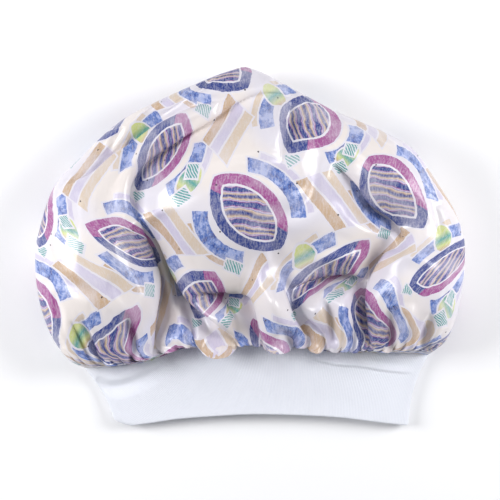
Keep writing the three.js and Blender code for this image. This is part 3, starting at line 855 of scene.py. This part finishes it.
def sheet_object(name, points, cloth, hold=None, evened=0):
    """A piece from a grid of points and their places on the flat cloth, in millimetres. Its ends are welded
    where they meet, its points are evened out a few times, and hold goes into a vertex group."""
    rows, columns = points.shape[:2]
    weld = 0.01 * MM
    piece_mesh = bmesh.new()
    uv_layer = piece_mesh.loops.layers.uv.new(CLOTH_UV)
    hold_layer = piece_mesh.verts.layers.deform.verify() if hold is not None else None
    grid = bmesh.ops.create_grid(piece_mesh, x_segments=columns - 1, y_segments=rows - 1, size=0.5)
    spot = {}
    for vert in grid["verts"]:
        spot[vert] = round((vert.co.y + 0.5) * (rows - 1)), round((vert.co.x + 0.5) * (columns - 1))
    for face in piece_mesh.faces:
        places = [cloth[spot[loop.vert]] for loop in face.loops]
        if max(abs(place[0] - places[0][0]) for place in places) > PRINT_JUMP:
            places = places[:1] * len(places)
        for loop, place in zip(face.loops, places):
            loop[uv_layer].uv = (place[0] * MM, place[1] * MM)
    shift = frame_shift()
    for vert in grid["verts"]:
        vert.co = Vector((points[spot[vert]] + shift) * MM)
        if hold_layer:
            vert[hold_layer][0] = float(hold[spot[vert]])
    bmesh.ops.remove_doubles(piece_mesh, verts=piece_mesh.verts, dist=weld)
    for _ in range(evened):
        bmesh.ops.smooth_vert(
            piece_mesh, verts=piece_mesh.verts, factor=0.5, use_axis_x=True, use_axis_y=True, use_axis_z=True
        )
    bmesh.ops.recalc_face_normals(piece_mesh, faces=piece_mesh.faces)
    for face in piece_mesh.faces:
        face.smooth = True
    piece = scene_object(name, piece_mesh)
    if hold is not None:
        piece.vertex_groups.new(name="hold")
    return piece


def even_and_dense_ends(count, share, power=1.0):
    """Steps from 0 to 1 that lie closer together at both ends, and all the more at the start for a power
    above 1."""
    even = np.linspace(0, 1, count)
    return mix(even, (1 - np.cos(np.pi * even)) / 2, share) ** power


def columns_of(settings):
    """Shares of the width of the front layer's columns and of the back's, and the back's even steps."""
    step = np.linspace(0, 1, settings.under_columns)
    return even_and_dense_ends(settings.front_columns, COLUMN_DENSITY), (1 + np.cos(np.pi * step)) / 2, step


def crown_grid(settings):
    """Points of the crown from the seam up to the peak, round the front and back again under it, their places
    on the flat cloth, and how firmly each is held."""
    density, power = 0.3, 1.25
    rows = CROWN_LENGTH * even_and_dense_ends(settings.rows, density, power)
    from_seam = np.concatenate([[-SEAM_ALLOWANCE], rows])
    front_across, under_across, step = columns_of(settings)

    def layer(across, shape_of, tuck):
        s, a = np.meshgrid(from_seam, across, indexing="ij")
        held = np.clip(s, 0, CROWN_LENGTH)
        points = np.stack(shape_of(held.ravel(), a.ravel()), -1).reshape(*s.shape, 3)
        plan = np.stack(crown_plan(held.ravel(), a.ravel()), -1).reshape(*s.shape, 2)
        tucked = np.minimum(s, 0)
        points += np.stack([SIDE_TUCK * tucked * (1 - 2 * a), tucked, tuck * tucked], -1)
        return points, plan, held, a

    front, plan, held, a = layer(front_across, crown_front, TUCK)
    growth_x, growth_y = cloth_growth(front, plan)
    cloth_front = plan + np.stack([growth_x, growth_y], -1)
    near_seam = 1 - smooth(held, *SEWN)
    near_peak = 1 - smooth(CROWN_LENGTH - held, *PEAK_HELD)
    near_edge = 1 - smooth(inside(a), *EDGE_HELD)
    hold = np.maximum.reduce([np.full(held.shape, settings.hold), near_seam, near_peak, near_edge])

    share = np.tile(step, len(from_seam))
    under, plan, _, _ = layer(
        under_across, lambda s, a: crown_under(s, a, share), -TUCK * inside(under_across)
    )
    edges = (growth_x[:, :1], growth_x[:, -1:]), (growth_y[:, :1], growth_y[:, -1:])
    growth_under = [mix(right, left, under_across[None, :]) for right, left in edges]
    cloth_under = unfolded_back(under, plan) + np.stack(growth_under, -1)

    points = np.concatenate([front, under[:, 1:]], 1)
    cloth = np.concatenate([cloth_front, cloth_under[:, 1:]], 1)
    return points, cloth, np.concatenate([hold, np.ones((len(from_seam), len(step) - 1))], 1)


def band_outer(down, across, is_front):
    """Points of the band's outer surface, at shares of its way down from the seam and of its width."""
    end_share, side_share = 0.15, 0.3  # where a fold runs out: of its length, and in from the sides
    corner_side = 0.9  # the rounded corner's start, as a share of the width
    seam_x, seam_y = point_across(SEAM_CURVE, across)
    foot_x, foot_y = point_across(FOOT_CURVE, across)
    x = mix(seam_x, foot_x, down) - BAND_BOW * np.sin(np.pi * np.clip(down, 0, 1)) * (1 - 2 * across)
    y = mix(seam_y - SEAM_GAP, foot_y, down)
    height = np.hypot(foot_y - seam_y, foot_x - seam_x)
    corner_start = 1 - FOOT_CORNER / height
    corner = np.clip((down - corner_start) / (1 - corner_start), 0, 1)
    x = x + FOOT_CORNER * (1 - np.sqrt(1 - corner**2)) * smooth(across, corner_side, 1)
    if not is_front:
        flat = quarter_round(np.minimum(across, 1 - across) * SEAM_WIDTH / BAND_ROLL)
        return np.stack([x, y, BAND_FOLD / 2 * (1 - flat)], -1)
    z = band_top(across, down)
    for right, left, line in BAND_FOLDS.values():
        gap, place, depth, _, is_left = beside_line(line, x, y)
        reach = np.where(is_left, left, right)
        ends = quarter_round(np.minimum(place, 1 - place) / end_share) * smooth(inside(across), 0, side_share)
        z = z - depth * ends * (1 - smooth(gap, 0, reach))
    return np.stack([x, y, z], -1)


def band_grid(settings):
    """Points of the band's folded strip: down the outside, round the free edge, up the inside and back over
    its sewn edge, and all the way round the head."""
    half = settings.band_wall / MM / 2
    outside_rows, inside_rows, round_rows = 72, 26, 5
    sewn = -0.07  # how far the strip runs up into the crown, as a share of the band's height
    turn = np.pi * np.linspace(0, 1, round_rows + 2)[1:-1]
    outside = np.linspace(sewn, 1, outside_rows)
    down = [*outside, *np.ones(round_rows), *np.linspace(1, sewn, inside_rows), *np.full(round_rows, sewn)]
    angle = [*np.zeros(outside_rows), *turn, *np.full(inside_rows, np.pi), *(np.pi + turn)]
    down, angle = (np.array([*row, row[0]]) for row in (down, angle))
    depth, out = half * (1 - np.cos(angle)), half * np.sin(angle)
    front_across, under_across, _ = columns_of(settings)
    parts = []
    for across, is_front in ((front_across, True), (under_across[1:], False)):
        d, a = (grid.ravel() for grid in np.meshgrid(down, across, indexing="ij"))
        parts.append(band_outer(d, a, is_front).reshape(len(down), len(across), 3))
    outer = np.concatenate(parts, 1)
    # inwards, from the slope of the outer skin alone
    closed = np.concatenate([outer[:, -2:-1], outer, outer[:, 1:2]], 1)
    round_way = closed[:, 2:] - closed[:, :-2]
    skin_rows = outer[: len(outside)]
    down_way = np.gradient(skin_rows, axis=0)
    inward_skin = np.cross(down_way, round_way[: len(outside)])
    inward_skin /= np.linalg.norm(inward_skin, axis=2, keepdims=True)
    inward = np.stack([
        np.stack([np.interp(down, outside, column) for column in inward_skin[:, :, axis].T], -1)
        for axis in range(3)
    ], -1)
    points = outer + inward * depth[:, None, None]
    points[:, :, 1] -= out[:, None]
    width = np.concatenate([front_across, 2 - under_across[1:]])
    slant_start = 0.35
    leaning = smooth(np.abs(1 - np.abs(1 - width)), slant_start, 1)
    slant = RIB_SLANT * np.clip(down, 0, 1)[:, None] * leaning[None, :]
    cloth = np.stack([
        np.broadcast_to(width * RIB_SPAN, (len(down), len(width))) + slant,
        np.broadcast_to((np.arange(len(down)) * STITCH_STEP)[:, None], (len(down), len(width))),
    ], -1)
    return points, cloth


def settle_cloth(piece, settings):
    """Lets a cloth simulation wrinkle the satin: it is cut a little larger than its shape, is sewn fast at
    the seam, rests where it lies and is drawn back to its lobes and folds elsewhere."""
    least_move = 1e-9
    start = np.array([vert.co for vert in piece.data.vertices])
    cloth = piece.modifiers.new("settling", "CLOTH")
    cloth_settings = {
        "quality": 4, "air_damping": 4, "vertex_group_mass": "hold", "mass": settings.mass,
        "pin_stiffness": settings.pin_stiffness, "tension_stiffness": settings.stretch,
        "compression_stiffness": settings.stretch, "shear_stiffness": settings.shear,
        "bending_stiffness": settings.bending, "shrink_min": -settings.ease, "shrink_max": -settings.ease,
    }
    for name, value in cloth_settings.items():
        setattr(cloth.settings, name, value)
    cloth.settings.effector_weights.gravity = 0
    cloth.collision_settings.use_collision = False
    scene = bpy.context.scene
    for step in range(1, settings.steps + 1):
        scene.frame_set(step)
    evaluated = piece.evaluated_get(bpy.context.evaluated_depsgraph_get())
    settled = np.array([vert.co for vert in evaluated.data.vertices])
    piece.modifiers.remove(cloth)
    scene.frame_set(1)
    move = settled - start
    far = np.linalg.norm(move, axis=1, keepdims=True)
    move *= np.minimum(1, settings.most_move / np.maximum(far, least_move))
    settled = start + move
    settled[:, 2] = np.maximum(settled[:, 2], 0)
    piece.data.vertices.foreach_set("co", settled.astype(np.float32).ravel())
    piece.data.update()


def length_property(name, description, default, **limits):
    """A length in metres that a user may change."""
    return bpy.props.FloatProperty(
        name=name, description=description, default=default, subtype="DISTANCE", unit="LENGTH", precision=4,
        **limits,
    )


def count_property(name, description, default, least):
    """A whole number that a user may change."""
    return bpy.props.IntProperty(name=name, description=description, default=default, min=least)


def number_property(name, description, default, **limits):
    """A number, from 0 on where no limit is given, that a user may change."""
    limits = {"min": 0, **limits}
    return bpy.props.FloatProperty(name=name, description=description, default=default, **limits)


def power_property(name, description, default):
    """A light's power that a user may change."""
    return number_property(name, description, default, subtype="POWER", unit="POWER")


def colour_property(name, description, hex_colour):
    """A colour that a user may change."""
    return bpy.props.FloatVectorProperty(
        name=name, description=description, default=linear(hex_colour), size=4, subtype="COLOR", min=0, max=1
    )


class BonnetCrown(bpy.types.PropertyGroup):
    """Sizes and colours of the satin crown."""

    cut: length_property("Cut", "Diameter of the round piece of satin before it is gathered", 0.56, min=0.3)
    rows: count_property("Rows", "Rows from the seam to the peak", 198, 40)
    front_columns: count_property("Front columns", "Columns of the front layer", 374, 60)
    under_columns: count_property("Back columns", "Columns of the back layer", 110, 24)
    roughness: number_property("Roughness", "Roughness of the satin's shine", 0.28, max=1, subtype="FACTOR")
    evened: count_property("Evened", "How often the points are evened out before the cloth settles", 1, 0)
    ease: number_property("Ease", "Share by which the cloth is larger than its shape", 0.012, max=0.3)
    hold: number_property("Hold", "How firmly the cloth keeps its lobes and folds", 0.05, max=1)
    pin_stiffness: number_property("Pull", "Stiffness of the pull to the lobes and folds", 1)
    mass: number_property("Mass", "Mass of a point of the cloth", 0.1, min=0.01)
    stretch: number_property("Stretch stiffness", "Resistance to stretching", 15)
    shear: number_property("Shear stiffness", "Resistance to shear", 5)
    bending: number_property("Bending stiffness", "Resistance to bending", 40)
    steps: count_property("Steps", "Frames of the simulation", 12, 1)
    most_move: length_property("Largest move", "How far a point may move", 0.006, min=0)
    ground: colour_property("Ground", "Unprinted satin", "#E2DEE6")
    cream: colour_property("Cream", "Warm tint of the unprinted satin in places", "#EBE3DF")
    navy: colour_property("Navy", "One side of the leaves and part of their hearts", "#2A3E88")
    blue: colour_property("Blue", "Broad arcs", "#5474BC")
    sky: colour_property("Light blue", "Faded patches of the arcs", "#A3B2E2")
    magenta: colour_property("Magenta", "Other side of the leaves", "#9F4A8E")
    violet: colour_property("Violet", "Veins of the leaves' hearts", "#8A77B0")
    ochre: colour_property("Ochre", "Bars, thin arcs and veins", "#C6A98B")
    sand: colour_property("Sand", "Bars, thin arcs and veins", "#D8C6B2")
    lavender: colour_property("Lavender", "Bars, thin arcs and veins", "#CDC6DC")
    teal: colour_property("Teal", "Hatched patches and the middle of the ovals", "#3F9A97")
    lime: colour_property("Lime", "Ovals", "#CDD488")
    speck: colour_property("Specks", "Small specks of the print", "#3A3440")


class BonnetBand(bpy.types.PropertyGroup):
    """Sizes and colours of the knitted band."""

    band_wall: length_property("Wall", "Thickness of the folded strip", 0.0024, min=0.001, max=0.005)
    rib: length_property("Rib spacing", "Distance between the knit's wales", 0.00135, min=0.0005, max=0.005)
    cut_width: length_property("Cut width", "Width of the strip before it is folded double", 0.12, min=0.04)
    cut_length: length_property("Cut length", "Length of the strip, once round the head", 0.5, min=0.3)
    front_columns: count_property("Front columns", "Columns of the front", 200, 60)
    under_columns: count_property("Back columns", "Columns of the back", 120, 24)
    knit: colour_property("Knit", "Colour of the knit", "#F1F3FA")
    # painted shade: the darker colour given to the grooves between the wales
    groove: colour_property("Grooves", "Colour between the wales", "#CED5E7")


class BonnetStage(bpy.types.PropertyGroup):
    """Floor, lights and camera."""

    view_width: length_property("View width", "Width that the camera sees at the bonnet", 0.421, min=0.1)
    view_distance: length_property("Camera height", "Height of the camera above the floor", 1.7, min=0.5)
    left_power: power_property("Left light", "Power of the soft light on the left", 13.5)
    right_power: power_property("Right light", "Power of the soft light on the right", 13)
    top_power: power_property("Top light", "Power of the wide light above", 3)
    sky: number_property("Ambient light", "Strength of the even light from all round", 0.25)
    floor: colour_property("Floor", "Colour of the floor", "#FDFDFE")


class BONNET_OT_crown(bpy.types.Operator):
    """Build the gathered satin crown"""

    bl_idname = "bonnet.crown"
    bl_label = "Crown"

    def execute(self, context):
        settings = context.scene.bonnet_crown
        points, cloth, hold = crown_grid(settings)
        crown = sheet_object("bonnet_crown", points, cloth, hold, settings.evened)
        crown.data.materials.append(printed_satin(settings))
        settle_cloth(crown, settings)
        crown.vertex_groups.clear()
        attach(crown, "root")
        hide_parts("crown")
        return {"FINISHED"}


class BONNET_OT_band(bpy.types.Operator):
    """Build the folded knitted band"""

    bl_idname = "bonnet.band"
    bl_label = "Band"

    def execute(self, context):
        settings = context.scene.bonnet_band
        points, cloth = band_grid(settings)
        band = sheet_object("bonnet_band", points, cloth)
        band.data.materials.append(rib_knit(settings))
        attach(band, "root")
        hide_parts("band")
        return {"FINISHED"}


class BONNET_OT_stage(bpy.types.Operator):
    """Add the floor, the lights and the camera"""

    bl_idname = "bonnet.stage"
    bl_label = "Stage"

    def execute(self, context):
        settings = context.scene.bonnet_stage
        half_floor, floor_level, sight = 4, -0.0006, (-0.0002, -0.0029, 0.02)
        scene = context.scene
        floor_mesh = bmesh.new()
        bmesh.ops.create_grid(floor_mesh, x_segments=1, y_segments=1, size=half_floor)
        bmesh.ops.translate(floor_mesh, verts=floor_mesh.verts, vec=(0, 0, floor_level))
        floor = scene_object("bonnet_floor", floor_mesh)
        floor.data.materials.append(plain_floor(settings))

        world = bpy.data.worlds.new("studio")
        world.use_nodes = True
        background = world.node_tree.nodes["Background"]
        background.inputs["Color"].default_value = linear("#F6F8FF")
        background.inputs["Strength"].default_value = settings.sky
        scene.world = world

        lights = [
            ("left softbox", (-1.1, 0.12, 0.75), (0.5, 0.8), settings.left_power),
            ("right softbox", (1.1, 0.25, 0.75), (0.5, 0.8), settings.right_power),
            ("top light", (0, 0.6, 1.6), (1.2, 0.6), settings.top_power),
        ]
        for name, place, (width, height), power in lights:
            lamp = bpy.data.lights.new(name, "AREA")
            lamp.shape = "RECTANGLE"
            lamp.size, lamp.size_y = width, height
            lamp.energy = power
            light = bpy.data.objects.new(name, lamp)
            light.location = place
            light.rotation_euler = (-Vector(place)).to_track_quat("-Z", "Y").to_euler()
            scene.collection.objects.link(light)

        camera_data = bpy.data.cameras.new("camera")
        half_view = math.atan(settings.view_width / 2 / settings.view_distance)
        camera_data.lens = camera_data.sensor_width / 2 / math.tan(half_view)
        camera = bpy.data.objects.new("camera", camera_data)
        camera.location = Vector(sight) + Vector((0, 0, settings.view_distance))
        camera.rotation_euler = Euler((0, 0, 0))
        scene.collection.objects.link(camera)
        scene.camera = camera
        scene.view_settings.view_transform = "Standard"
        return {"FINISHED"}


class BONNET_PT_panel(bpy.types.Panel):
    """Sizes, colours and the steps that build the bonnet"""

    bl_label = "Sleep Bonnet"
    bl_idname = "BONNET_PT_panel"
    bl_space_type = "VIEW_3D"
    bl_region_type = "UI"
    bl_category = "Bonnet"

    def draw(self, context):
        for operator, group in STEPS:
            box = self.layout.box()
            settings = getattr(context.scene, group)
            for name in settings.__annotations__:
                box.prop(settings, name)
            box.operator(operator.bl_idname)


STEPS = [
    (BONNET_OT_stage, "bonnet_stage"),
    (BONNET_OT_crown, "bonnet_crown"),
    (BONNET_OT_band, "bonnet_band"),
]
GROUPS = {"bonnet_crown": BonnetCrown, "bonnet_band": BonnetBand, "bonnet_stage": BonnetStage}
CLASSES = [*GROUPS.values(), *(operator for operator, _ in STEPS), BONNET_PT_panel]


def register():
    for item in CLASSES:
        bpy.utils.register_class(item)
    for name, group in GROUPS.items():
        setattr(bpy.types.Scene, name, bpy.props.PointerProperty(type=group))


def unregister():
    for name in GROUPS:
        delattr(bpy.types.Scene, name)
    for item in reversed(CLASSES):
        bpy.utils.unregister_class(item)


def main():
    register()
    bpy.ops.bonnet.stage()
    bpy.ops.bonnet.crown()
    bpy.ops.bonnet.band()


if __name__ == "__main__":
    main()
